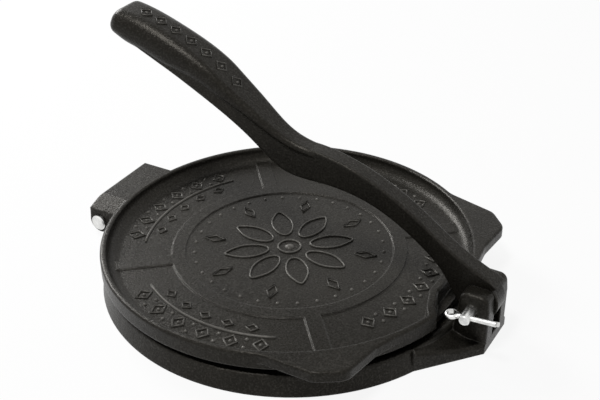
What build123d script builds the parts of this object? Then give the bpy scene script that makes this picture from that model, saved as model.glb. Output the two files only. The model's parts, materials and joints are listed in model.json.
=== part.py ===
from build123d import *
from math import acos, atan2, cos, degrees, hypot, radians, sin
import os

# Cast-iron press for flattening balls of dough between two round plates.
# +X runs from the hinge to the lever's clevis and +Z is up. While it is built, X and Y start at
# the middle of the round base and Z at the table. All sizes are millimetres.

# ---- base: round tray with a neck that carries the lever ----
BASE_FOOT_R = 108.0          # outside radius on the table
BASE_DRAFT = 2.0             # the wall leans in by this much up to the rim
BASE_H = 12.0                # height of the rim
BASE_RIM_W = 4.0             # width of the flat rim
BASE_RECESS = 2.0            # the pressing face lies this far below the rim
BASE_DECK = 5.0              # thickness of the pressing face
BASE_SKIRT = 5.0             # thickness of the skirt at the table
BASE_EDGE_R = 1.6            # rounding of the rim's outer edge
BASE_STEP_R = 0.8            # rounding of the rim's inner edge
BASE_RIB_W = 5.0             # ribs under the deck
BASE_RIB_CLEAR = 1.5         # the ribs stop this far above the table
BASE_RIB_SINK = 2.0          # the ribs run into ring and skirt by this much
BASE_HUB_R = 20.0            # ring that the ribs meet

# ---- clevis at the end of the neck ----
NECK_REACH = 16.0            # the neck and the lugs end this far outside the tray
NECK_FLANK_ANGLE = 24.9      # where each flank leaves the round tray, seen from its middle
NECK_LOW_H = 6.5             # height of the neck beside the lugs
NECK_SLOPE = 28.0            # the top starts to slope down this far before the end face
NECK_FLAT = 11.0             # and is level over this length
LUG_T = 9.0                  # thickness of each lug
LUG_RISE = 9.1               # the lugs end this far above the pin's middle
LUG_LEAN = 4.0               # the inner side of a lug leans out by this much
LUG_LENGTH = 20.0            # length of a lug along X at its root
LUG_FRONT_LEAN = 1.0         # the end face leans in by this much above the pin
LUG_TOP_R = 4.5              # rounded upper corners
LUG_EDGE_R = 2.2             # rounded rim of the outer faces
NECK_EDGE_R = 2.5            # rounded upper edges of the neck's flanks

# ---- lever pin ----
LEVER_PIN_BACK = 9.3         # from the lugs' end face to the pin's middle
LEVER_PIN_RISE = 12.9        # the pin's middle is this far above the base's rim
LEVER_PIN_R = 3.0
LEVER_PIN_HEAD_R = 5.0
LEVER_PIN_HEAD_T = 2.5
LEVER_PIN_TAIL = 10.5        # the pin stands out of the near lug by this much
LEVER_PIN_DOME = 0.75        # chamfer of the head
PIN_TIP = 0.6                # chamfer at the tail of either pin

# ---- lever: X and Z are measured from the middle of its pin ----
EYE_T = 10.4                 # thickness of the lever's bar, and of the eye between the lugs
EYE_SIDE_GAP = 0.3           # free space on each side of the eye
EYE_R = 11.0                 # metal round the pin
BAR_EDGE_R = 0.9             # rounded long edges of the bar
HANDLE_END_R = 5.0           # rounded edges of the handle's end face
HEEL = (9.3, 10.6)           # front corner of the heel above the eye
# Upper edge of the bar, from the heel over the pin to where the handle's flange takes over.
BAR_TOP = [
    (4.3, 14),
    (-8.7, 19.9),
    (-21.7, 27.5),
    (-35.5, 37.0),
    (-52.0, 46.9),
    (-70.7, 55.0),
    (-86.7, 59.5),
    (-102.7, 61.3),
]
# Lower edge of the bar, from under the handle to the front of the eye.
BAR_UNDER = [
    (-206.7, 99.6),
    (-194.7, 94.3),
    (-180.7, 88.1),
    (-167.5, 81.4),
    (-154.6, 73.6),
    (-142.5, 64.9),
    (-134.7, 58.3),
    (-116, 44.3),
    (-94.7, 42.9),
    (-63.7, 38.5),
    (-34.7, 22.8),
    (-21.7, 11.1),
    (-13.7, -0.9),
    (-10.2, -5.9),
]
# The bar ends inside the handle along this line.
BAR_HIDDEN = [
    (-112.7, 60.4),
    (-121.7, 64.2),
    (-139.7, 76.3),
    (-156.7, 87.3),
    (-180.7, 97.5),
    (-194.7, 102.2),
    (-206.7, 106.2),
]
WEB_WIDE_X = -176.7          # under the handle the bar is nearly as wide as the handle here
WEB_WIDE_HALF = 11.6
WEB_PLAIN_X = -106.7         # and has its plain thickness from here on
# Handle and flange, section by section: X and Z of the upper face, the slope of the upper face in
# degrees, thickness, width and corner radius.
HANDLE = [
    (-220.7, 118.2, 155, 15.4, 26.0, 7.2),
    (-212.7, 117.1, 167, 17.4, 26.0, 7.6),
    (-202.7, 114.8, 164, 18.2, 26.0, 7.8),
    (-190.7, 110.9, 160, 18.4, 26.0, 7.8),
    (-180.7, 106.9, 157, 17.4, 26.0, 7.2),
    (-172.7, 103.2, 153, 15.0, 25.6, 6.2),
    (-164.7, 98.9, 149, 12.4, 24.8, 5.0),
    (-156.7, 93.8, 145, 10.4, 23.4, 3.8),
    (-148.7, 87.8, 143.5, 9.0, 21.8, 3.3),
    (-139.7, 81.3, 143.5, 7.4, 19.6, 3.0),
    (-130.7, 74.6, 144, 6.2, 17.0, 2.6),
    (-121.7, 68.3, 150, 5.4, 14.4, 2.4),
    (-112.7, 63.9, 160, 5.0, 12.6, 2.2),
    (-102.7, 61.5, 169, 4.8, 11.4, 2.0),
    (-94.7, 59.8, 170, 5.2, 9.8, 1.6),
]

# ---- hinge ----
HINGE_OUT = 10.0             # the pin's middle is this far outside the tray
HINGE_DROP = 0.9             # and this far below the base's rim
HINGE_PIN_R = 3.0
HINGE_PIN_HEAD_R = 4.75
HINGE_PIN_HEAD_T = 2.0
HINGE_PIN_TAIL = 8.0         # the pin stands out of the far cheek by this much
HINGE_PIN_DOME = 0.7         # chamfer of the head
BARREL_R = 5.5               # base barrel round the pin
BARREL_HALF = 17.5           # half of the barrel's length
ARM_SINK = 2.0               # the barrel's arm runs into the rim by this much
ARM_LOW = 8.5                # lower edge of the arm at the rim, below the pin's middle
ARM_TOP = 0.4                # upper edge of the arm above the pin's middle
CHEEK_GAP = 0.5              # free space between barrel and cheek
CHEEK_T = 8.5                # thickness of each cheek
CHEEK_LOBE_R = 7.0           # rounded lower end of a cheek
CHEEK_FOOT = 3.0             # a cheek's inner edge slopes out by this much up to the wall
HOOD_BACK = 6.5              # the hood reaches this far behind the pin
HOOD_FLAT_NEAR = 14.5        # the hood's top is level up to here on the side of the pin's head
HOOD_FAR_OUT = 2.6           # on the other side the hood stands out of the cheek by this much
HOOD_FAR_BEVEL = 1.5         # and its top ends in a small bevel
HOOD_LENGTH = 24.0           # length of the hood along X, up to the rim's metal
HOOD_DROP = 4.0              # from there the top slopes down by this much

# ---- top plate, measured in its own level ----
PLATE_TILT = 0.7             # the plate rests this many degrees open, standing on its hinge end
PLATE_BACK = 1.7             # middle of the round rim, behind the base's middle
PLATE_OVER = 0.6             # the rim stands out over the base's rim by this much
RIM_TOP = 12.1               # rim height above the hinge axis
RIM_H = 9.3                  # height of the outer wall
RIM_W = 3.4                  # width of the rim's flat top
DISH_FLOOR = 4.0             # level of the dished upper face above the hinge axis
DISH_BLEND_R = 7.0           # hollow blend between rim and floor
DISH_DRAFT = 0.4             # the rim's inner face leans out by this much
DISC_CLEAR = 2.5             # free ring between the pressing disc and the base's rim
DISC_LOW = -1.0              # level of the pressing face above the hinge axis
RIM_EDGE_R = 1.4             # rounded upper edges of the rim
DISH_EDGE_R = 1.0            # rounded edge between the rim's top and the dish
PATTERN_TURN = -4.5          # the ribs are turned by this angle from the axis of the hinge
EAR_TURN = -6.9              # and the ears by this one
EAR_T = 6.0                  # thickness of the ears and of the hood
EAR_TIP_R = 9.0              # rounded outer corners
EAR_ROOT_R = 16.0            # hollow blend into the rim on the hinge side
EAR_BEND_R = 12.0            # bends on the notch side
# One ear, from the rim's hinge side round its tip to the notch: the angle from the notch in degrees,
# and how far the corner lies outside the rim. The other ear is its mirror image.
EAR = [
    (60.46, -37.6),
    (64.42, -2.4),
    (48.18, 13.4),
    (40.47, 15.1),
    (30.44, 2.0),
    (15.04, -2.5),
    (18.43, -43.4),
]
RING_IN_R = 59.2             # raised ring on the dish floor
RING_OUT_R = 67.0
RELIEF_H = 0.7               # height of ring and ribs
RIB_W = 9.0
RIB_SHORT = 3.2              # the ribs end this far inside the rim, in its hollow blend
NOTCH_BACK = 20.7            # flat end of the notch that clears the lever, from the lever's pin
NOTCH_HALF = 9.0             # half of the flat end's width
NOTCH_SHOULDER = 4.5         # the flanks bend this far in front of the flat end
NOTCH_SHOULDER_Y = 22.0
NOTCH_MOUTH_Y = 45.0         # half of the notch's width outside the rim
NOTCH_OVER = 5.0             # the cut starts this far outside the rim
NOTCH_WALL = 5.0             # wall between notch and dish
NOTCH_BLEND_R = 4.0

# ---- split cotters ----
COTTER_R = 1.5               # both legs together fill a round of this radius
COTTER_SPLIT = 0.16          # slit between the legs
COTTER_EYE_R = 2.6           # middle line of the eye
COTTER_NECK_R = 2.5          # bend between leg and eye
LEVER_COTTER_LEG = 21.0      # straight length of the longer leg
HINGE_COTTER_LEG = 9.5
COTTER_SHORT = 1.5           # the other leg is shorter by this much
LEVER_COTTER_RISE = 6.0      # the lever's cotter points up by this many degrees
COTTER_BEFORE = 3.4          # length of leg between the pin's middle and the eye's neck
LEVER_COTTER_OUT = 6.7       # from the lug's outer face to the cotter's middle
HINGE_COTTER_OUT = 4.3       # from the cheek's outer face to the cotter's middle

# ---- fits ----
RUN_FIT = 0.05               # radial clearance of a pin in its bore
FACE_GAP = 0.3               # free space between a turning face and a fixed one

# ---- sizes that follow ----
BASE_TOP_R = BASE_FOOT_R - BASE_DRAFT
SKIRT_IN_R = BASE_FOOT_R - BASE_SKIRT
RECESS_R = BASE_TOP_R - BASE_RIM_W
FLOOR_Z = BASE_H - BASE_RECESS
DECK_LOW = FLOOR_Z - BASE_DECK
NECK_END_X = BASE_FOOT_R + NECK_REACH
FLANK_X = BASE_FOOT_R * cos(radians(NECK_FLANK_ANGLE))
FLANK_Y = BASE_FOOT_R * sin(radians(NECK_FLANK_ANGLE))
LEVER_PIN_X = NECK_END_X - LEVER_PIN_BACK
LEVER_PIN_Z = BASE_H + LEVER_PIN_RISE
LUG_TOP_Z = LEVER_PIN_Z + LUG_RISE
LUG_IN = EYE_T / 2 + EYE_SIDE_GAP
LUG_OUT = LUG_IN + LUG_T
HINGE_X = -BASE_FOOT_R - HINGE_OUT
HINGE_Z = BASE_H - HINGE_DROP
HOOD_X = HINGE_X - HOOD_BACK
CHEEK_IN = BARREL_HALF + CHEEK_GAP
CHEEK_OUT = CHEEK_IN + CHEEK_T
HOOD_FAR = CHEEK_OUT + HOOD_FAR_OUT
PLATE_X = -PLATE_BACK
PLATE_R = BASE_TOP_R + PLATE_OVER
RIM_IN_R = PLATE_R - RIM_W
WALL_LOW = RIM_TOP - RIM_H
FLANGE_LOW = RIM_TOP - EAR_T
DISC_R = RECESS_R - DISC_CLEAR
RIB_REACH = RIM_IN_R - RIB_SHORT
NOTCH_X = LEVER_PIN_X - NOTCH_BACK
NOTCH_SHOULDER_X = NOTCH_X + NOTCH_SHOULDER
TILT = radians(PLATE_TILT)
COTTER_HALF = COTTER_R - COTTER_SPLIT / 2
LEVER_COTTER_Y = -LUG_OUT - LEVER_COTTER_OUT
HINGE_COTTER_Y = CHEEK_OUT + HINGE_COTTER_OUT
# The whole press is centred on this X, between the cheeks' lobes and the lever cotter's tip.
MIDDLE_X = (HINGE_X - CHEEK_LOBE_R + LEVER_PIN_X + LEVER_COTTER_LEG - COTTER_BEFORE) / 2

# The plate's own level: its X starts above the middle of the base and it turns about the hinge.
PLATE = Plane(
    origin=(HINGE_X - HINGE_X * cos(TILT), 0, HINGE_Z - HINGE_X * sin(TILT)),
    x_dir=(cos(TILT), 0, sin(TILT)),
    z_dir=(-sin(TILT), 0, cos(TILT)),
)
# Upright plane along the plate, for side profiles; its local Y is the height above the hinge.
PLATE_SIDE = Plane(origin=PLATE.origin, x_dir=PLATE.x_dir, z_dir=(0, -1, 0))
PLATE_END = Plane(origin=PLATE.origin, x_dir=(0, 1, 0), z_dir=PLATE.x_dir)
SIDE = Plane.XZ
# Upright plane of the lever, which starts at the middle of its pin.
LEVER_SIDE = Plane(origin=(LEVER_PIN_X, 0, LEVER_PIN_Z), x_dir=(1, 0, 0), z_dir=(0, -1, 0))
# Each cotter's legs run along its plane's normal.
LEVER_COTTER = Plane(
    origin=(LEVER_PIN_X, LEVER_COTTER_Y, LEVER_PIN_Z),
    x_dir=(0, 1, 0),
    z_dir=(cos(radians(LEVER_COTTER_RISE)), 0, sin(radians(LEVER_COTTER_RISE))),
)
HINGE_COTTER = Plane(origin=(HINGE_X, HINGE_COTTER_Y, HINGE_Z), x_dir=(0, 0, 1), z_dir=(-1, 0, 0))

# ======================================================================================
# base
# ======================================================================================
with BuildPart() as base:
    # neck: flanks from the round tray to the end face
    with BuildSketch():
        with BuildLine():
            Polyline(
                (FLANK_X * 0.7, 0),
                (FLANK_X, FLANK_Y),
                (NECK_END_X, LUG_OUT),
                (NECK_END_X, -LUG_OUT),
                (FLANK_X, -FLANK_Y),
                close=True,
            )
        make_face()
    extrude(amount=BASE_H)
    # its top slopes down to the level of the lugs' roots
    with BuildSketch(SIDE):
        with BuildLine():
            Polyline(
                (NECK_END_X - NECK_SLOPE, BASE_H),
                (NECK_END_X - NECK_FLAT, NECK_LOW_H),
                (NECK_END_X + 1, NECK_LOW_H),
                (NECK_END_X + 1, BASE_H + 1),
                (NECK_END_X - NECK_SLOPE, BASE_H + 1),
                close=True,
            )
        make_face()
    extrude(amount=BASE_FOOT_R, both=True, mode=Mode.SUBTRACT)
    # round tray: skirt, rim and recessed pressing face
    with BuildSketch(SIDE):
        with BuildLine():
            Polyline(
                (0, DECK_LOW),
                (RECESS_R, DECK_LOW),
                (SKIRT_IN_R, 0),
                (BASE_FOOT_R, 0),
                (BASE_TOP_R, BASE_H - BASE_EDGE_R),
            )
            RadiusArc((BASE_TOP_R, BASE_H - BASE_EDGE_R), (BASE_TOP_R - BASE_EDGE_R, BASE_H), -BASE_EDGE_R)
            Line((BASE_TOP_R - BASE_EDGE_R, BASE_H), (RECESS_R + BASE_STEP_R, BASE_H))
            RadiusArc((RECESS_R + BASE_STEP_R, BASE_H), (RECESS_R, BASE_H - BASE_STEP_R), -BASE_STEP_R)
            Polyline(
                (RECESS_R, BASE_H - BASE_STEP_R),
                (RECESS_R, FLOOR_Z),
                (0, FLOOR_Z),
                (0, DECK_LOW),
            )
        make_face()
    revolve(axis=Axis.Z)
    # the neck's metal is cleared out of the hollow under the deck and out of the recess
    with BuildSketch():
        Circle(SKIRT_IN_R)
    extrude(amount=DECK_LOW, mode=Mode.SUBTRACT)
    with BuildSketch(Plane.XY.offset(FLOOR_Z)):
        Circle(RECESS_R)
    extrude(amount=BASE_H, mode=Mode.SUBTRACT)
    # ribs and hub ring under the deck
    with BuildSketch(Plane.XY.offset(BASE_RIB_CLEAR)):
        Circle(BASE_HUB_R)
        Circle(BASE_HUB_R - BASE_RIB_W, mode=Mode.SUBTRACT)
        with PolarLocations((BASE_HUB_R + SKIRT_IN_R) / 2, 6, start_angle=30):
            Rectangle(SKIRT_IN_R - BASE_HUB_R + 2 * BASE_RIB_SINK, BASE_RIB_W)
    extrude(amount=DECK_LOW - BASE_RIB_CLEAR)
    # lugs of the clevis
    with BuildSketch(SIDE) as lug_side:
        with BuildLine():
            Polyline(
                (NECK_END_X - LUG_LENGTH, 0),
                (NECK_END_X - LUG_LENGTH + LUG_LEAN, LUG_TOP_Z),
                (NECK_END_X - LUG_FRONT_LEAN, LUG_TOP_Z),
                (NECK_END_X, LEVER_PIN_Z),
                (NECK_END_X, 0),
                close=True,
            )
        make_face()
        fillet(lug_side.vertices().group_by(Axis.Z)[-1], LUG_TOP_R)
    extrude(amount=LUG_OUT, both=True)
    with BuildSketch(Plane.XY.offset(NECK_LOW_H)):
        with Locations((NECK_END_X, 0)):
            Rectangle(2 * LUG_LENGTH, 2 * LUG_IN)
    extrude(amount=LUG_TOP_Z, mode=Mode.SUBTRACT)
    # rounded edges of the flanks and of the lugs' outer faces
    flank_tops = base.edges().filter_by(GeomType.LINE).filter_by(
        lambda e: e.center().X > FLANK_X and abs(e.center().Y) > LUG_OUT + 1
        and e.center().Z > NECK_LOW_H - 0.5 and abs(e.tangent_at().X) > 0.3
    )
    fillet(flank_tops, NECK_EDGE_R)
    lug_rims = base.faces().filter_by(Axis.Y).group_by(Axis.Y)
    rims = [e for f in (lug_rims[0] + lug_rims[-1]) for e in f.edges() if e.center().Z > BASE_H]
    fillet(rims, LUG_EDGE_R)
    # barrel of the hinge and the arm that carries it
    with BuildSketch(SIDE):
        with BuildLine():
            Polyline(
                (HINGE_X, HINGE_Z - BARREL_R),
                (-BASE_TOP_R + ARM_SINK, HINGE_Z - ARM_LOW),
                (-BASE_TOP_R + ARM_SINK, HINGE_Z + ARM_TOP),
                (HINGE_X, HINGE_Z + ARM_TOP),
                close=True,
            )
        make_face()
        with Locations((HINGE_X, HINGE_Z)):
            Circle(BARREL_R)
    extrude(amount=BARREL_HALF, both=True)
    # bores for the two pins
    with BuildSketch(SIDE):
        with Locations((HINGE_X, HINGE_Z)):
            Circle(HINGE_PIN_R + RUN_FIT)
        with Locations((LEVER_PIN_X, LEVER_PIN_Z)):
            Circle(LEVER_PIN_R + RUN_FIT)
    extrude(amount=CHEEK_OUT, both=True, mode=Mode.SUBTRACT)
base.part.label = "base"

# ======================================================================================
# top plate
# ======================================================================================
def near_rim(corner):
    """True for a corner of the outline that isn't at the tip of an ear."""
    return hypot(corner.X, corner.Y) < PLATE_R + EAR_TIP_R


# outline of everything that is level with the rim: rim and ears
ear_corners = [((PLATE_R + out) * cos(radians(a)), (PLATE_R + out) * sin(radians(a))) for a, out in EAR]
with BuildSketch() as ear_pair:
    with BuildLine():
        Polyline(*ear_corners, close=True)
    make_face()
    mirror(about=Plane.XZ)

with BuildSketch() as outline:
    with Locations((PLATE_X, 0)):
        Circle(PLATE_R)
    add(ear_pair.sketch.rotate(Axis.Z, EAR_TURN))
    tips = outline.vertices().filter_by(lambda v: not near_rim(v))
    fillet(tips, EAR_TIP_R)
    roots = outline.vertices().filter_by(lambda v: near_rim(v) and abs(v.Y) > v.X > 0)
    fillet(roots, EAR_ROOT_R)
    bends = outline.vertices().filter_by(lambda v: near_rim(v) and 0 < abs(v.Y) < v.X)
    fillet(bends, EAR_BEND_R)

with BuildSketch() as notch:
    with BuildLine():
        Polyline(
            (NOTCH_X, -NOTCH_HALF),
            (NOTCH_X, NOTCH_HALF),
            (NOTCH_SHOULDER_X, NOTCH_SHOULDER_Y),
            (PLATE_R + NOTCH_OVER, NOTCH_MOUTH_Y),
            (PLATE_R + NOTCH_OVER, -NOTCH_MOUTH_Y),
            (NOTCH_SHOULDER_X, -NOTCH_SHOULDER_Y),
            close=True,
        )
    make_face()
    fillet(notch.vertices().filter_by(lambda v: v.X < PLATE_R), NOTCH_BLEND_R)

with BuildPart() as top_plate:
    # outer wall of the round rim
    with BuildSketch(PLATE.offset(WALL_LOW)):
        with Locations((PLATE_X, 0)):
            Circle(PLATE_R)
    extrude(amount=RIM_H)
    # ears and hood are a thinner flange, level with the rim
    with BuildSketch(PLATE.offset(FLANGE_LOW)):
        add(outline.sketch)
    extrude(amount=EAR_T)
    # hood over the hinge
    with BuildSketch(PLATE_END.offset(HOOD_X)):
        with BuildLine():
            Polyline(
                (-CHEEK_OUT, FLANGE_LOW),
                (-CHEEK_OUT, RIM_TOP - HOOD_DROP),
                (-HOOD_FLAT_NEAR, RIM_TOP),
                (HOOD_FAR - HOOD_FAR_BEVEL, RIM_TOP),
                (HOOD_FAR, RIM_TOP - HOOD_FAR_BEVEL),
                (HOOD_FAR, FLANGE_LOW),
                close=True,
            )
        make_face()
    extrude(amount=HOOD_LENGTH)
    # cheeks that hang from the hood and hold the pin
    for side in (-1, 1):
        with BuildSketch(PLATE_SIDE.offset(side * CHEEK_IN)):
            with BuildLine():
                Polyline(
                    (HOOD_X, FLANGE_LOW),
                    (HINGE_X - CHEEK_LOBE_R, 0),
                    (HINGE_X + CHEEK_LOBE_R, 0),
                    (HINGE_X + CHEEK_LOBE_R + CHEEK_FOOT, WALL_LOW),
                    (HOOD_X + HOOD_LENGTH, WALL_LOW),
                    (HOOD_X + HOOD_LENGTH, FLANGE_LOW),
                    close=True,
                )
            make_face()
            with Locations((HINGE_X, 0)):
                Circle(CHEEK_LOBE_R)
        extrude(amount=side * CHEEK_T)
    # pressing disc
    with BuildSketch(PLATE.offset(DISC_LOW)):
        Circle(DISC_R)
    extrude(amount=WALL_LOW - DISC_LOW + 1)
    # notch that clears the lever
    with BuildSketch(PLATE.offset(WALL_LOW)):
        add(notch.sketch)
    extrude(amount=RIM_TOP, mode=Mode.SUBTRACT)
    # dish
    with BuildSketch(PLATE_SIDE):
        with BuildLine():
            Polyline(
                (PLATE_X, DISH_FLOOR),
                (PLATE_X + RIM_IN_R - DISH_BLEND_R, DISH_FLOOR),
            )
            RadiusArc(
                (PLATE_X + RIM_IN_R - DISH_BLEND_R, DISH_FLOOR),
                (PLATE_X + RIM_IN_R, DISH_FLOOR + DISH_BLEND_R),
                -DISH_BLEND_R,
            )
            Polyline(
                (PLATE_X + RIM_IN_R, DISH_FLOOR + DISH_BLEND_R),
                (PLATE_X + RIM_IN_R + DISH_DRAFT, RIM_TOP + 1),
                (PLATE_X, RIM_TOP + 1),
                (PLATE_X, DISH_FLOOR),
            )
        make_face()
    revolve(axis=Axis(PLATE.from_local_coords((PLATE_X, 0, 0)), PLATE.z_dir), mode=Mode.SUBTRACT)
    # wall between dish and notch, and the blend at its foot
    with BuildSketch(PLATE.offset(WALL_LOW)):
        add(notch.sketch)
        offset(amount=NOTCH_WALL)
        with Locations((PLATE_X, 0)):
            Circle(PLATE_R - 1, mode=Mode.INTERSECT)
        add(notch.sketch, mode=Mode.SUBTRACT)
    extrude(amount=RIM_H)
    # raised ring and ribs on the dish floor
    with BuildSketch(PLATE.offset(DISH_FLOOR - 1)):
        with Locations((PLATE_X, 0)):
            Circle(RING_OUT_R)
            Circle(RING_IN_R, mode=Mode.SUBTRACT)
        with Locations((PLATE_X, 0)):
            with PolarLocations((RING_OUT_R + RIB_REACH) / 2, 4, start_angle=45 + PATTERN_TURN):
                Rectangle(RIB_REACH - RING_OUT_R + 1, RIB_W)
    extrude(amount=1 + RELIEF_H)
    # bores for the hinge pin
    with BuildSketch(PLATE_SIDE):
        with Locations((HINGE_X, 0)):
            Circle(HINGE_PIN_R + RUN_FIT)
    extrude(amount=CHEEK_OUT + 1, both=True, mode=Mode.SUBTRACT)
    # rounded edges of the rim's flat top, and of the wall's foot
    rim_top = top_plate.faces().filter_by(lambda f: abs(PLATE.to_local_coords(f.center()).Z - RIM_TOP) < 0.01)
    fillet(rim_top[0].outer_wire().edges(), RIM_EDGE_R)
    rim_top = top_plate.faces().filter_by(lambda f: abs(PLATE.to_local_coords(f.center()).Z - RIM_TOP) < 0.01)
    fillet(rim_top[0].inner_wires().edges(), DISH_EDGE_R)
top_plate.part.label = "top_plate"

# ======================================================================================
# lever
# ======================================================================================
with BuildPart() as lever:
    # bar: side outline, cut to its plan outline
    with BuildSketch(LEVER_SIDE.offset(-WEB_WIDE_HALF)):
        with BuildLine():
            Spline(*BAR_TOP)
            Polyline(BAR_TOP[-1], *BAR_HIDDEN, BAR_UNDER[0])
            Spline(*BAR_UNDER)
            Polyline(BAR_UNDER[-1], (0, 0), HEEL, BAR_TOP[0])
        make_face()
        Circle(EYE_R)
    extrude(amount=2 * WEB_WIDE_HALF)
    with BuildSketch(Plane(origin=(LEVER_PIN_X, 0, LEVER_PIN_Z - EYE_R))):
        with BuildLine():
            Line((BAR_UNDER[0][0] - EYE_R, 0), (BAR_UNDER[0][0] - EYE_R, WEB_WIDE_HALF))
            Line((BAR_UNDER[0][0] - EYE_R, WEB_WIDE_HALF), (WEB_WIDE_X, WEB_WIDE_HALF))
            Spline(
                (WEB_WIDE_X, WEB_WIDE_HALF),
                (WEB_PLAIN_X, EYE_T / 2),
                tangents=[(1, 0), (1, 0)],
            )
            Line((WEB_PLAIN_X, EYE_T / 2), (2 * EYE_R, EYE_T / 2))
            Line((2 * EYE_R, EYE_T / 2), (2 * EYE_R, 0))
            mirror(about=Plane.XZ)
        make_face()
    extrude(amount=BAR_HIDDEN[-1][1] + 2 * EYE_R, mode=Mode.INTERSECT)
    # bore for the pin
    with BuildSketch(LEVER_SIDE):
        Circle(LEVER_PIN_R + RUN_FIT)
    extrude(amount=EYE_T, both=True, mode=Mode.SUBTRACT)
    # handle and flange
    for x, z, slope, thick, width, corner in HANDLE:
        along = Vector(cos(radians(slope)), 0, sin(radians(slope)))
        inward = Vector(-along.Z, 0, along.X)
        middle = LEVER_SIDE.origin + Vector(x, 0, z) + inward * (thick / 2)
        with BuildSketch(Plane(origin=middle, x_dir=(0, 1, 0), z_dir=along)):
            RectangleRounded(width, thick, corner)
    loft()
    # rounded end of the handle, and rounded long edges of the bar
    fillet(lever.faces().sort_by(Axis.X)[0].edges(), HANDLE_END_R)
    bar_edges = lever.edges().filter_by(
        lambda e: abs(abs(e.center().Y) - EYE_T / 2) < RUN_FIT and e.length > 4 * EYE_R
    )
    fillet(bar_edges, BAR_EDGE_R)
lever.part.label = "lever"

# ======================================================================================
# pins
# ======================================================================================
with BuildPart() as lever_pin:
    with BuildSketch(SIDE.offset(-LUG_OUT - LEVER_PIN_HEAD_T)):
        with Locations((LEVER_PIN_X, LEVER_PIN_Z)):
            Circle(LEVER_PIN_HEAD_R)
    extrude(amount=LEVER_PIN_HEAD_T)
    chamfer(lever_pin.edges().sort_by(Axis.Y)[-1], LEVER_PIN_DOME)
    with BuildSketch(SIDE.offset(-LUG_OUT)):
        with Locations((LEVER_PIN_X, LEVER_PIN_Z)):
            Circle(LEVER_PIN_R)
    extrude(amount=2 * LUG_OUT + LEVER_PIN_TAIL)
    chamfer(lever_pin.edges().sort_by(Axis.Y)[0], PIN_TIP)
    with BuildSketch(LEVER_COTTER):
        Circle(COTTER_R + RUN_FIT)
    extrude(amount=2 * LEVER_PIN_R, both=True, mode=Mode.SUBTRACT)
lever_pin.part.label = "lever_pin"

with BuildPart() as hinge_pin:
    with BuildSketch(SIDE.offset(CHEEK_OUT + FACE_GAP)):
        with Locations((HINGE_X, HINGE_Z)):
            Circle(HINGE_PIN_HEAD_R)
    extrude(amount=HINGE_PIN_HEAD_T)
    chamfer(hinge_pin.edges().sort_by(Axis.Y)[0], HINGE_PIN_DOME)
    with BuildSketch(SIDE.offset(CHEEK_OUT + FACE_GAP)):
        with Locations((HINGE_X, HINGE_Z)):
            Circle(HINGE_PIN_R)
    extrude(amount=-2 * (CHEEK_OUT + FACE_GAP) - HINGE_PIN_TAIL)
    chamfer(hinge_pin.edges().sort_by(Axis.Y)[-1], PIN_TIP)
    with BuildSketch(HINGE_COTTER):
        Circle(COTTER_R + RUN_FIT)
    extrude(amount=2 * HINGE_PIN_R, both=True, mode=Mode.SUBTRACT)
hinge_pin.part.label = "hinge_pin"

# ======================================================================================
# split cotters
# ======================================================================================


def cotter(at, length):
    """Split cotter whose legs run along the plane's normal, with its eye on the other side."""
    flat = Plane(origin=at.origin, x_dir=at.z_dir, z_dir=at.y_dir)
    bend = degrees(acos((COTTER_SPLIT / 2 + COTTER_NECK_R) / (COTTER_EYE_R + COTTER_NECK_R)))
    with BuildPart() as pin:
        with BuildLine(flat) as wire:
            leg = Line((length - COTTER_BEFORE, COTTER_SPLIT / 2), (-COTTER_BEFORE, COTTER_SPLIT / 2))
            neck = JernArc(leg @ 1, leg % 1, COTTER_NECK_R, -bend)
            eye = JernArc(neck @ 1, neck % 1, COTTER_EYE_R, 180 + 2 * bend)
            back = JernArc(eye @ 1, eye % 1, COTTER_NECK_R, -bend)
            Line(back @ 1, (length - COTTER_BEFORE - COTTER_SHORT, -COTTER_SPLIT / 2))
        with BuildSketch(Plane(origin=leg @ 0, x_dir=at.y_dir, z_dir=leg % 0)):
            Circle(COTTER_HALF)
            with Locations((0, -COTTER_R)):
                Rectangle(2 * COTTER_R, 2 * COTTER_R, mode=Mode.SUBTRACT)
        sweep(path=wire.wires()[0])
    return pin


with BuildPart() as lever_cotter:
    add(cotter(LEVER_COTTER, LEVER_COTTER_LEG).part)
lever_cotter.part.label = "lever_cotter"

with BuildPart() as hinge_cotter:
    add(cotter(HINGE_COTTER, HINGE_COTTER_LEG).part)
hinge_cotter.part.label = "hinge_cotter"

# the pieces are written with the origin on the table under the middle of the whole press
os.makedirs("parts", exist_ok=True)
for piece in (base, top_plate, lever, lever_pin, hinge_pin, lever_cotter, hinge_cotter):
    placed = piece.part.moved(Location((-MIDDLE_X, 0, 0)))
    placed.label = piece.part.label
    export_step(placed, f"parts/{placed.label}.step")
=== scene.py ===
# %% [markdown]
# # A cast-iron flatbread press
# This press flattens a ball of dough between two round plates. The base and the hinged top plate
# are heavy sand castings, the lever turns in a clevis at one end, and two zinc-plated pins with
# split cotters hold it all together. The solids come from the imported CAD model, so this notebook
# is about what CAD leaves out: raised ornament, the skin of seasoned iron, bright zinc, and the
# light.

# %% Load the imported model
import bmesh
import bpy
import json
import math
from mathutils import Matrix, Vector
from mathutils.bvhtree import BVHTree


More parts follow.
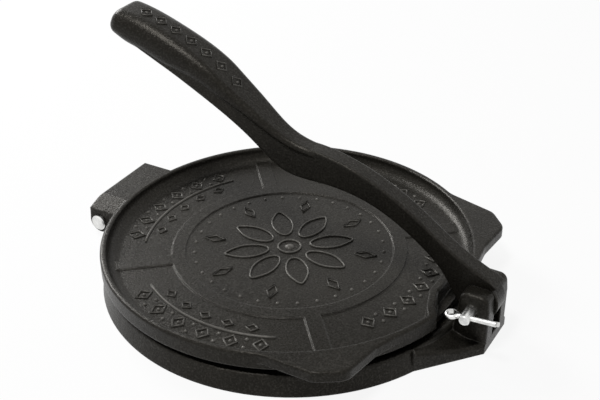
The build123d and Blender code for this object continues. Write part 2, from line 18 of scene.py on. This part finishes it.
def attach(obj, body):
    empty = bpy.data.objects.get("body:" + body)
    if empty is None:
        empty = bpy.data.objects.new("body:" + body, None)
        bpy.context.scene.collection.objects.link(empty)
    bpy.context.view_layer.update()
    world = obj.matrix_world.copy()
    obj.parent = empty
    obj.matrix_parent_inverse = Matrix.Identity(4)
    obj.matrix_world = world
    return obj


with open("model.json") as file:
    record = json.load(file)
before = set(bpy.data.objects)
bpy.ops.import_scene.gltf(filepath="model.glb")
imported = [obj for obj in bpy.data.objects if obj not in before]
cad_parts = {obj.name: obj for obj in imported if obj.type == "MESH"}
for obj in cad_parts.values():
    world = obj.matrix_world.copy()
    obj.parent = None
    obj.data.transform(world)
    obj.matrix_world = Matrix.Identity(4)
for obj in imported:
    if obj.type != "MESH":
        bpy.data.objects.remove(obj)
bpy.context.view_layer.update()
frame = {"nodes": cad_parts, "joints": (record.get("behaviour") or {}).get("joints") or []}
nodes = frame["nodes"]
joints = {j["name"]: j for j in frame["joints"]}
print("pieces:", sorted(nodes))

# %% [markdown]
# ## Where things lie
# The top plate rests a little open, so its dished face is not quite level. Everything on it is
# drawn flat, with the middle of its round rim at the origin, and is then placed by one matrix that
# turns about the hinge pin. That way each ornament can be made in plain round numbers.

# %% The plate's own level
MM = 0.001
PLATE_TILT = math.radians(0.7)
RIM_MIDDLE = 116.3 * MM        # from the hinge pin to the middle of the round rim
DISH_FLOOR = 4.0 * MM          # the dished face lies this far above the pin's middle
PATTERN_TURN = math.radians(-4.5)
SUNK = 0.4 * MM                # ornament goes this far into the metal, so no slit shows under it

hinge = Vector(joints["plate_hinge"]["pos_m"])
to_plate = (
    Matrix.Translation(hinge)
    @ Matrix.Rotation(-PLATE_TILT, 4, "Y")
    @ Matrix.Translation((RIM_MIDDLE, 0, DISH_FLOOR))
    @ Matrix.Rotation(PATTERN_TURN, 4, "Z")
)
print("middle of the dish, in mm:", [round(v * 1000, 1) for v in to_plate.translation])

# %% [markdown]
# ## Raised shapes
# Ornament on a casting is part of the pattern that is pressed into the sand. Its edges are soft
# and its sides lean, because it has to lift out of the mould. Two helpers make this from any flat
# outline. An inset turns the outline into a narrow ring. The ring stays as the underside, a copy
# of it is extruded, and the copy's edges are bevelled. The bevel takes up half of the height that
# shows, so it stands in for the lean too. It is real geometry, so it catches the light from every
# side.

# %% Raise a flat outline
RELIEF = 0.85 * MM             # height of the raised ornament over the dish
SOFT = 0.45 * MM               # bevel on its upper edges


def raise_faces(bm, faces):
    """Turns flat faces into a raised shape with soft upper edges and a closed underside."""
    made = bmesh.ops.extrude_face_region(bm, geom=faces, use_keep_orig=True)["geom"]
    top = [g for g in made if isinstance(g, bmesh.types.BMFace)]
    corners = [g for g in made if isinstance(g, bmesh.types.BMVert)]
    bmesh.ops.translate(bm, vec=(0, 0, RELIEF + SUNK), verts=corners)
    inner = set(top)
    rim = {e for f in top for e in f.edges if not all(g in inner for g in e.link_faces)}
    bmesh.ops.bevel(
        bm, geom=list(rim), offset=SOFT, segments=3, profile=0.5, affect="EDGES", material=-1
    )


def raise_wall(bm, corners, place, wall):
    """Turns a flat outline into a narrow wall along its edge, and raises it at its place."""
    face = corners[0].link_faces[0]
    ring = bmesh.ops.inset_individual(bm, faces=[face], thickness=wall)["faces"]
    bmesh.ops.delete(bm, geom=[face], context="FACES_ONLY")
    bmesh.ops.transform(bm, matrix=place, verts=list({v for f in ring for v in f.verts}))
    raise_faces(bm, ring)


# %% [markdown]
# ## From a drawing to a piece
# A bmesh is only a drawing until it is written into a mesh. Each drawn shape ends in the same
# way: it sinks a little into the metal, goes to its place, has its normals turned outwards, and
# rides on the casting that carries it. Its place goes into the mesh and not into the object, so
# the finish, which reads the piece's own coordinates, doesn't slide.

# %% Finish and place a drawn shape
def finish_piece(bm, name, place, body):
    """Puts a drawn shape in its place, turns its normals outwards and lets it ride on a body."""
    bmesh.ops.translate(bm, vec=(0, 0, -SUNK), verts=bm.verts)
    bmesh.ops.transform(bm, matrix=place, verts=bm.verts)
    bmesh.ops.recalc_face_normals(bm, faces=bm.faces)
    open_edges = sum(len(e.link_faces) != 2 for e in bm.edges)
    mesh = bpy.data.meshes.new(name)
    bm.to_mesh(mesh)
    bm.free()
    mesh.shade_smooth()
    piece = bpy.data.objects.new(name, mesh)
    bpy.context.collection.objects.link(piece)
    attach(piece, body)
    print(name, "has", len(mesh.polygons), "faces and", open_edges, "open edges")
    return piece


def at(radius, degrees):
    """A place on the dish, by its distance from the middle and its direction."""
    around = Matrix.Rotation(math.radians(degrees), 4, "Z")
    return around @ Matrix.Translation((radius, 0, 0))


# %% [markdown]
# ## Garlands in the four fields
# Four ribs divide the dish between its ring and its rim into four fields. Each field carries a
# plain garland: lozenges drawn as narrow walls with beads between them, and inside them a fine
# line and a row of small lozenges. The field next to the lever is cut short by the notch, so its
# row sits a little further in and has no room for the rest. All the walls are drawn in one bmesh
# and all the beads in another, which keeps the garlands two light meshes.

# %% A lozenge, a bead and a fine line
LINE_SIDES = 8                 # sides of a raised line's round section
LINE_STEP = 3                  # degrees that one stretch of a raised line covers


def add_lozenge(bm, place, long, wide, wall):
    """A raised lozenge outline, from a circle with four corners."""
    made = bmesh.ops.create_circle(bm, cap_ends=True, segments=4, radius=0.5)
    bmesh.ops.scale(bm, vec=(long, wide, 1), verts=made["verts"])
    raise_wall(bm, made["verts"], place, wall)


def add_bead(bm, place, radius, height):
    """A raised bead: a flattened ball, half in the metal."""
    made = bmesh.ops.create_icosphere(bm, subdivisions=2, radius=radius)
    bmesh.ops.scale(bm, vec=(1, 1, (height + SUNK) / radius), verts=made["verts"])
    bmesh.ops.transform(bm, matrix=place, verts=made["verts"])


def add_line(bm, radius, start, sweep):
    """A raised half-round line on an arc: a small upright circle, spun round the middle."""
    made = bmesh.ops.create_circle(bm, cap_ends=True, segments=LINE_SIDES, radius=RELIEF)
    upright = Matrix.Translation((radius, 0, SUNK)) @ Matrix.Rotation(math.radians(90), 4, "X")
    turned = Matrix.Rotation(math.radians(start), 4, "Z") @ upright
    bmesh.ops.transform(bm, matrix=turned, verts=made["verts"])
    bmesh.ops.spin(
        bm,
        geom=[made["verts"][0].link_faces[0]],
        cent=(0, 0, 0),
        axis=(0, 0, 1),
        angle=math.radians(sweep),
        steps=round(sweep / LINE_STEP),
    )


# %% Garlands
FIELDS = {0: -8.0, 90: 0.0, 180: 0.0, 270: 0.0}   # direction of each field, and its shift in mm
LOZENGES = 6                   # in each garland
STEP = 10.2                    # degrees from one lozenge to the next
ROW_R = 90.0                   # mm from the middle of the dish to the row of lozenges
BEADS_OFF = 3.4                # the beads between lozenges stand this far beside the row
SMALL_ROW_R = 77.0             # mm from the middle to the small lozenges
LINE_R = 83.2                  # a fine line runs between the two rows
LINE_SWEEP = 60                # degrees
LOZENGE = (10.6 * MM, 8.6 * MM, 1.2 * MM)        # length, width and wall
SMALL_LOZENGE = (6.6 * MM, 7.6 * MM, 1.1 * MM)
MIDDLE_BEAD = (1.1 * MM, 0.9 * MM)               # radius and height
SIDE_BEAD = (1.2 * MM, 0.9 * MM)

garland = bmesh.new()
beads = bmesh.new()
for direction, shift in FIELDS.items():
    for k in range(LOZENGES):
        angle = direction + (k - (LOZENGES - 1) / 2) * STEP
        add_lozenge(garland, at((ROW_R + shift) * MM, angle), *LOZENGE)
        add_bead(beads, at((ROW_R + shift) * MM, angle), *MIDDLE_BEAD)
        if k < LOZENGES - 1:
            between = angle + STEP / 2
            add_bead(beads, at((ROW_R + BEADS_OFF + shift) * MM, between), *SIDE_BEAD)
            add_bead(beads, at((ROW_R - BEADS_OFF + shift) * MM, between), *SIDE_BEAD)
            if not shift:
                add_lozenge(garland, at(SMALL_ROW_R * MM, between), *SMALL_LOZENGE)
    if not shift:
        add_line(garland, LINE_R * MM, direction - LINE_SWEEP / 2, LINE_SWEEP)
field_lozenges = finish_piece(garland, "field_lozenges", to_plate, "plate")
field_beads = finish_piece(beads, "field_beads", to_plate, "plate")

# %% [markdown]
# ## Rosette inside the ring
# The round field inside the raised ring holds a rosette: two rounds of petals drawn as narrow
# walls, a small boss, and a fine circle of beads. Narrow walls read well on dark iron, because
# each one shows a bright line on the side that faces the light and a dark one behind it.

# %% A petal
SHOULDER, TAPER = 0.1, 0.9     # a petal narrows from its shoulder on, and by how much


def add_petal(bm, place, long, wide, wall):
    """A raised petal outline: a circle that narrows from its shoulder to its tip, drawn out."""
    made = bmesh.ops.create_circle(bm, cap_ends=True, segments=20, radius=0.5)
    for v in made["verts"]:
        if v.co.x > SHOULDER:
            v.co.y *= 1.0 - TAPER * (v.co.x - SHOULDER)
    bmesh.ops.scale(bm, vec=(long, wide, 1), verts=made["verts"])
    raise_wall(bm, made["verts"], place, wall)


# %% Rosette
PETALS = 8
PETAL_R = 24.5 * MM            # from the middle of the dish to the middle of a petal
LEAF_R = 44 * MM               # and to the small leaves between the petals
DOTS_R = 54 * MM               # and to the circle of beads
BOSS_R = 7 * MM
PETAL = (26 * MM, 13 * MM, 1.0 * MM)             # length, width and wall
LEAF = (13 * MM, 6.6 * MM, 0.95 * MM)
BOSS_WALL = 1.1 * MM
BOSS_BEAD = (3.0 * MM, 1.2 * MM)                 # radius and height
DOT = (1.15 * MM, 0.8 * MM)

rosette = bmesh.new()
for k in range(PETALS):
    add_petal(rosette, at(PETAL_R, 360 / PETALS * k), *PETAL)
    add_lozenge(rosette, at(LEAF_R, 360 / PETALS * (k + 0.5)), *LEAF)
boss = bmesh.ops.create_circle(rosette, cap_ends=True, segments=32, radius=BOSS_R)
raise_wall(rosette, boss["verts"], at(0, 0), BOSS_WALL)
rosette_walls = finish_piece(rosette, "rosette_walls", to_plate, "plate")

dots = bmesh.new()
add_bead(dots, at(0, 0), *BOSS_BEAD)
for k in range(4 * PETALS):
    add_bead(dots, at(DOTS_R, 360 / (4 * PETALS) * (k + 0.5)), *DOT)
rosette_beads = finish_piece(dots, "rosette_beads", to_plate, "plate")

# %% [markdown]
# ## Ornament on the handle
# The crown of the handle curves in both directions, so a flat ornament would float at one end. A
# ray cast straight down on the lever's own mesh gives the point and the normal under each lozenge,
# and the lozenge is turned to lie along that normal.

# %% Handle ornament
HANDLE_LOZENGES = 7
FIRST_X = -95.0                # mm, the lozenge nearest the handle's end
PITCH = 9.6                    # mm from one lozenge to the next
HANDLE_LOZENGE = (8.0 * MM, 8.6 * MM, 0.9 * MM)  # length, width and wall
HANDLE_BEAD = (1.0 * MM, 0.7 * MM)               # radius and height
ABOVE = 0.3                    # metres, well above the lever, where each ray starts

lever = nodes["lever"]
crown = BVHTree.FromPolygons(
    [v.co.copy() for v in lever.data.vertices], [list(p.vertices) for p in lever.data.polygons]
)


def on_crown(x):
    """The matrix of a small flat place on the handle's crown at that X, its X along the handle."""
    point, up, _, _ = crown.ray_cast(Vector((x, 0, ABOVE)), Vector((0, 0, -1)))
    across = Vector((0, 1, 0))
    along = across.cross(up).normalized()
    turn = Matrix((along, across, up)).transposed().to_4x4()
    return Matrix.Translation(point) @ turn


handle_row = bmesh.new()
handle_dots = bmesh.new()
for k in range(HANDLE_LOZENGES):
    x = (FIRST_X + PITCH * k) * MM
    add_lozenge(handle_row, on_crown(x), *HANDLE_LOZENGE)
    add_bead(handle_dots, on_crown(x), *HANDLE_BEAD)
handle_lozenges = finish_piece(handle_row, "handle_lozenges", Matrix(), "lever")
handle_beads = finish_piece(handle_dots, "handle_beads", Matrix(), "lever")

# %% [markdown]
# ## Shared effects
# Two effects return in more than one finish. **Cast grain** is the print of moulding sand: fine
# noise over broader, softer noise. **Edge wear and sheen** looks for edges by comparing the
# surface normal with a rounded one from the Bevel node, and breaks the result up with noise so it
# looks rubbed and not like a clean stripe. The paler colour it gives the edges is partly rubbed
# wear and partly a painted highlight. Both are node groups with named sockets that give only values
# and normals. The shaders stay in the materials.

# %% Node helpers
def node(tree, kind, inputs=(), **settings):
    """A new node with its settings and the values of its unlinked inputs."""
    made = tree.nodes.new(kind)
    for name, value in settings.items():
        setattr(made, name, value)
    for name, value in dict(inputs).items():
        made.inputs[name].default_value = value
    return made


def new_group(name, inputs, outputs):
    """An empty shader node group with float inputs and the given outputs."""
    tree = bpy.data.node_groups.new(name, "ShaderNodeTree")
    for label, value in inputs.items():
        socket = tree.interface.new_socket(label, in_out="INPUT", socket_type="NodeSocketFloat")
        socket.default_value = value
    for label, kind in outputs.items():
        tree.interface.new_socket(label, in_out="OUTPUT", socket_type=kind)
    return tree, tree.nodes.new("NodeGroupInput"), tree.nodes.new("NodeGroupOutput")


def math_node(tree, operation, a, b, clamp=False):
    """A Math node; a and b are sockets or numbers."""
    made = tree.nodes.new("ShaderNodeMath")
    made.operation = operation
    made.use_clamp = clamp
    for socket, value in zip(made.inputs, (a, b)):
        if isinstance(value, (int, float)):
            socket.default_value = value
        else:
            tree.links.new(value, socket)
    return made.outputs[0]


def stretch(tree, value, low, high, to_low, to_high):
    """Stretches the part of a value between low and high to a new range."""
    made = node(
        tree,
        "ShaderNodeMapRange",
        {"From Min": low, "From Max": high, "To Min": to_low, "To Max": to_high},
    )
    tree.links.new(value, made.inputs["Value"])
    return made.outputs["Result"]


# %% Cast grain
grain, g_in, g_out = new_group(
    "cast_grain",
    {"Grain Size": 0.0010, "Lump Size": 0.006, "Patch Size": 0.03},
    {"Height": "NodeSocketFloat", "Grain": "NodeSocketFloat", "Patches": "NodeSocketFloat"},
)
place = grain.nodes.new("ShaderNodeTexCoord").outputs["Object"]
layers = {}
for label, detail in (("Grain Size", 3.0), ("Lump Size", 2.0), ("Patch Size", 4.0)):
    noise = node(grain, "ShaderNodeTexNoise", {"Detail": detail, "Roughness": 0.6})
    grain.links.new(place, noise.inputs["Vector"])
    grain.links.new(math_node(grain, "DIVIDE", 1.0, g_in.outputs[label]), noise.inputs["Scale"])
    layers[label] = noise.outputs["Fac"]
height = math_node(
    grain, "ADD", layers["Grain Size"], math_node(grain, "MULTIPLY", layers["Lump Size"], 0.5)
)
grain.links.new(height, g_out.inputs["Height"])
grain.links.new(layers["Grain Size"], g_out.inputs["Grain"])
patches = stretch(grain, layers["Patch Size"], 0.35, 0.65, 0.0, 1.0)
grain.links.new(patches, g_out.inputs["Patches"])
print(grain.name, "has", len(grain.nodes), "nodes")

# %% Edge wear and painted sheen
wear_and_sheen, w_in, w_out = new_group(
    "edge_wear_and_sheen",
    {"Width": 0.0012, "Amount": 1.0},
    {"Wear And Sheen": "NodeSocketFloat", "Round Normal": "NodeSocketVector"},
)
bevel = node(wear_and_sheen, "ShaderNodeBevel", samples=6)
wear_and_sheen.links.new(w_in.outputs["Width"], bevel.inputs["Radius"])
flat = wear_and_sheen.nodes.new("ShaderNodeNewGeometry").outputs["Normal"]
facing = node(wear_and_sheen, "ShaderNodeVectorMath", operation="DOT_PRODUCT")
wear_and_sheen.links.new(bevel.outputs["Normal"], facing.inputs[0])
wear_and_sheen.links.new(flat, facing.inputs[1])
bend = math_node(wear_and_sheen, "SUBTRACT", 1.0, facing.outputs["Value"], clamp=True)
rubbed = node(wear_and_sheen, "ShaderNodeTexNoise", {"Scale": 160.0, "Detail": 3.0})
wear_and_sheen.links.new(wear_and_sheen.nodes.new("ShaderNodeTexCoord").outputs["Object"], rubbed.inputs["Vector"])
broken = stretch(wear_and_sheen, rubbed.outputs["Fac"], 0.35, 0.65, 0.3, 1.0)
edge = math_node(wear_and_sheen, "MULTIPLY", stretch(wear_and_sheen, bend, 0.01, 0.12, 0.0, 1.0), broken)
amount = math_node(wear_and_sheen, "MULTIPLY", edge, w_in.outputs["Amount"], clamp=True)
wear_and_sheen.links.new(amount, w_out.inputs["Wear And Sheen"])
wear_and_sheen.links.new(bevel.outputs["Normal"], w_out.inputs["Round Normal"])
print(wear_and_sheen.name, "has", len(wear_and_sheen.nodes), "nodes")

# %% [markdown]
# ## Seasoned cast iron
# Seasoning is oil baked on in thin coats. It turns the grey iron warm black with a low satin
# gloss, a bit duller where the coat is thick and a bit brighter where hands and cloths have rubbed
# it. Those paler edges are partly that wear and partly a painted highlight. The gloss comes from a
# dielectric shader, because the light is thrown back by the oil coat. Grain moves the roughness,
# the bump and the strength of the reflection, so the highlight sparkles as it does on sand-cast
# metal. The ornament gets the same finish in a paler version: partly because its narrow walls are
# rubbed most when the press is wiped, and partly as a painted highlight along them.

# %% Iron
BLACK_DARK, BLACK_PALE = (0.0090, 0.0082, 0.0066), (0.0140, 0.0128, 0.0103)
# The ornament's two tones are paler than the iron, partly from rubbed wear and partly as a painted
# highlight.
WORN_SHEEN_DARK, WORN_SHEEN_PALE = (0.070, 0.067, 0.061), (0.12, 0.115, 0.105)
# The edge colour is paler partly from rubbed wear and partly as a painted highlight.
RUBBED_AND_SHEEN = (0.085, 0.081, 0.075, 1)   # colour of a rubbed edge
COAT = (1.0, 0.94, 0.84, 1)         # the oil coat tints what it reflects a little
GRAIN_DEPTH = 0.18 * MM             # depth of the grain in the bump
GRAIN_DULL = (-0.07, 0.09)          # what the grain adds to the roughness, at its ends
POLISH = 0.10                       # a rubbed edge is this much less rough
GLINT = (0.13, 0.36)                # strength of the reflection, in the grain's dips and tops


def group_node(tree, group, inputs=()):
    """A node that uses a group, with its own values."""
    made = tree.nodes.new("ShaderNodeGroup")
    made.node_tree = group
    for name, value in dict(inputs).items():
        made.inputs[name].default_value = value
    return made


def seasoned_iron(name, dark, pale, bump, gloss, edge_width):
    """Black satin iron: two tones, grain in gloss and bump, edges paled by wear and painted
    highlight.
    """
    material = bpy.data.materials.new(name)
    material.use_nodes = True
    tree = material.node_tree
    shader = tree.nodes["Principled BSDF"]
    skin = group_node(tree, grain)
    edges = group_node(tree, wear_and_sheen, {"Width": edge_width})
    tone = node(tree, "ShaderNodeMix", {6: (*dark, 1), 7: (*pale, 1)}, data_type="RGBA")
    tree.links.new(skin.outputs["Patches"], tone.inputs[0])
    # Edges are mixed towards a paler colour: partly rubbed wear, partly a painted highlight.
    rub_and_sheen = node(tree, "ShaderNodeMix", {7: RUBBED_AND_SHEEN}, data_type="RGBA")
    tree.links.new(edges.outputs["Wear And Sheen"], rub_and_sheen.inputs[0])
    tree.links.new(tone.outputs[2], rub_and_sheen.inputs[6])
    tree.links.new(rub_and_sheen.outputs[2], shader.inputs["Base Color"])
    dull_ends = [gloss + change for change in GRAIN_DULL]
    dull = stretch(tree, skin.outputs["Grain"], 0.3, 0.7, *dull_ends)
    polish = math_node(tree, "MULTIPLY", edges.outputs["Wear And Sheen"], POLISH)
    dull = math_node(tree, "SUBTRACT", dull, polish)
    tree.links.new(dull, shader.inputs["Roughness"])
    bumped = node(tree, "ShaderNodeBump", {"Strength": bump, "Distance": GRAIN_DEPTH})
    tree.links.new(skin.outputs["Height"], bumped.inputs["Height"])
    tree.links.new(edges.outputs["Round Normal"], bumped.inputs["Normal"])
    tree.links.new(bumped.outputs["Normal"], shader.inputs["Normal"])
    glint = stretch(tree, skin.outputs["Grain"], 0.50, 0.72, *GLINT)
    tree.links.new(glint, shader.inputs["Specular IOR Level"])
    shader.inputs["Specular Tint"].default_value = COAT
    return material


iron = seasoned_iron("seasoned_iron", BLACK_DARK, BLACK_PALE, 1.0, 0.30, 0.0012)
# The ornament's paler copy of the iron is partly wear and partly a painted highlight.
relief_iron = seasoned_iron("relief_iron", WORN_SHEEN_DARK, WORN_SHEEN_PALE, 0.3, 0.26, 0.0003)
for made in (iron, relief_iron):
    print(made.name, "has", len(made.node_tree.nodes), "nodes")

# %% [markdown]
# ## Bright zinc
# The pins and cotters are steel wire and rod with a thin bright zinc plate. Zinc is a metal, so
# its colour sits in the reflection. Drawn wire keeps very fine lines along its length, and the
# plate has small cloudy spots, so roughness comes from noise and the bump is slight.

# %% Zinc
zinc = bpy.data.materials.new("bright_zinc")
zinc.use_nodes = True
tree = zinc.node_tree
shader = tree.nodes["Principled BSDF"]
shader.inputs["Metallic"].default_value = 1.0
cloud = group_node(tree, grain, {"Grain Size": 0.0004, "Lump Size": 0.002, "Patch Size": 0.004})
dull_zinc, clear_zinc = (0.62, 0.62, 0.61, 1), (0.86, 0.86, 0.84, 1)
tint = node(tree, "ShaderNodeMix", {6: dull_zinc, 7: clear_zinc}, data_type="RGBA")
tree.links.new(cloud.outputs["Patches"], tint.inputs[0])
tree.links.new(tint.outputs[2], shader.inputs["Base Color"])
dull = stretch(tree, cloud.outputs["Patches"], 0.0, 1.0, 0.34, 0.22)
tree.links.new(dull, shader.inputs["Roughness"])
bumped = node(tree, "ShaderNodeBump", {"Strength": 0.12, "Distance": 0.0001})
tree.links.new(cloud.outputs["Height"], bumped.inputs["Height"])
tree.links.new(bumped.outputs["Normal"], shader.inputs["Normal"])
print(zinc.name, "has", len(tree.nodes), "nodes")

# %% Give every piece its finish
for name, piece in nodes.items():
    finish = iron if name in ("base", "top_plate", "lever") else zinc
    piece.data.materials.clear()
    piece.data.materials.append(finish)
ornament = (
    field_lozenges, field_beads, rosette_walls, rosette_beads, handle_lozenges, handle_beads
)
for piece in ornament:
    piece.data.materials.append(relief_iron)
print("finishes:", [m.name for m in (iron, relief_iron, zinc)])

# %% [markdown]
# ## Floor, light and camera
# Black iron shows almost only what it reflects, so what stands around it matters more than its
# colour. A soft lamp above draws a line along the handle and every rounded edge. A second, on the
# left, is caught by the hollow of the rim. The floor and the world look white to the camera and in
# reflections through Light Path, so the iron's satin coat shows them too, without more light on
# it.

# %% Floor
FLOOR_R = 6.0                  # metres
FLOOR_SHOWN = 0.9              # how much of the floor is seen as plain white, the rest takes shadow

floor_bm = bmesh.new()
bmesh.ops.create_circle(floor_bm, cap_ends=True, segments=64, radius=FLOOR_R)
floor_mesh = bpy.data.meshes.new("floor")
floor_bm.to_mesh(floor_mesh)
floor_bm.free()
floor = bpy.data.objects.new("floor", floor_mesh)
bpy.context.collection.objects.link(floor)

paper = bpy.data.materials.new("pale_floor")
paper.use_nodes = True
tree = paper.node_tree
surface = tree.nodes["Principled BSDF"]
surface.inputs["Base Color"].default_value = (0.8, 0.8, 0.8, 1)
surface.inputs["Roughness"].default_value = 0.9
surface.inputs["Specular IOR Level"].default_value = 0.1
glow = node(tree, "ShaderNodeEmission", {"Color": (1, 1, 1, 1), "Strength": 1.0})
path = tree.nodes.new("ShaderNodeLightPath")
seen = math_node(tree, "MAXIMUM", path.outputs["Is Camera Ray"], path.outputs["Is Glossy Ray"])
seen = math_node(tree, "MAXIMUM", seen, path.outputs["Is Transmission Ray"])
both = tree.nodes.new("ShaderNodeMixShader")
tree.links.new(math_node(tree, "MULTIPLY", seen, FLOOR_SHOWN), both.inputs[0])
tree.links.new(surface.outputs[0], both.inputs[1])
tree.links.new(glow.outputs[0], both.inputs[2])
tree.links.new(both.outputs[0], tree.nodes["Material Output"].inputs["Surface"])
floor_mesh.materials.append(paper)
print("floor:", 2 * FLOOR_R, "m across")

# %% World
WORLD_LIGHT = 0.10             # what the world adds to the lamps; it is seen at strength 1

world = bpy.data.worlds.new("studio")
bpy.context.scene.world = world
world.use_nodes = True
tree = world.node_tree
tree.nodes["Background"].inputs["Color"].default_value = (1, 1, 1, 1)
path = tree.nodes.new("ShaderNodeLightPath")
seen = math_node(tree, "MAXIMUM", path.outputs["Is Camera Ray"], path.outputs["Is Glossy Ray"])
seen = math_node(tree, "MAXIMUM", seen, path.outputs["Is Transmission Ray"])
level = stretch(tree, seen, 0.0, 1.0, WORLD_LIGHT, 1.0)
tree.links.new(level, tree.nodes["Background"].inputs["Strength"])
print("world lights at", WORLD_LIGHT)

# %% Lamps
AIM = Vector((0, 0, 0.03))     # the lamps look at the middle of the plates


def soft_lamp(name, place, size, watts):
    """A square soft box that looks at the press."""
    lamp = bpy.data.lights.new(name, "AREA")
    lamp.size = size
    lamp.energy = watts
    box = bpy.data.objects.new(name, lamp)
    box.location = place
    box.rotation_euler = (AIM - Vector(place)).to_track_quat("-Z", "Y").to_euler()
    bpy.context.collection.objects.link(box)
    print(name, "gives", watts, "W from", round((AIM - Vector(place)).length, 2), "m")


soft_lamp("top_lamp", (-0.14, -0.46, 1.37), 0.28, 12)
soft_lamp("left_lamp", (-1.20, 0.46, 0.78), 0.58, 18)

# %% Camera
STANDS_AT = (0.26225, -0.4542, 0.3743)
LOOKS_AT = Vector((-0.03875, 0.070, 0))
LENS, SENSOR = 66.9, 36        # mm

camera = bpy.data.objects.new("camera", bpy.data.cameras.new("camera"))
camera.location = STANDS_AT
camera.rotation_euler = (LOOKS_AT - camera.location).to_track_quat("-Z", "Y").to_euler()
camera.data.lens = LENS
camera.data.sensor_width = SENSOR
camera.data.clip_start = 0.01
bpy.context.collection.objects.link(camera)
bpy.context.scene.camera = camera
bpy.context.scene.view_settings.view_transform = "Standard"
print("camera stands", round((LOOKS_AT - camera.location).length, 2), "m from what it looks at")
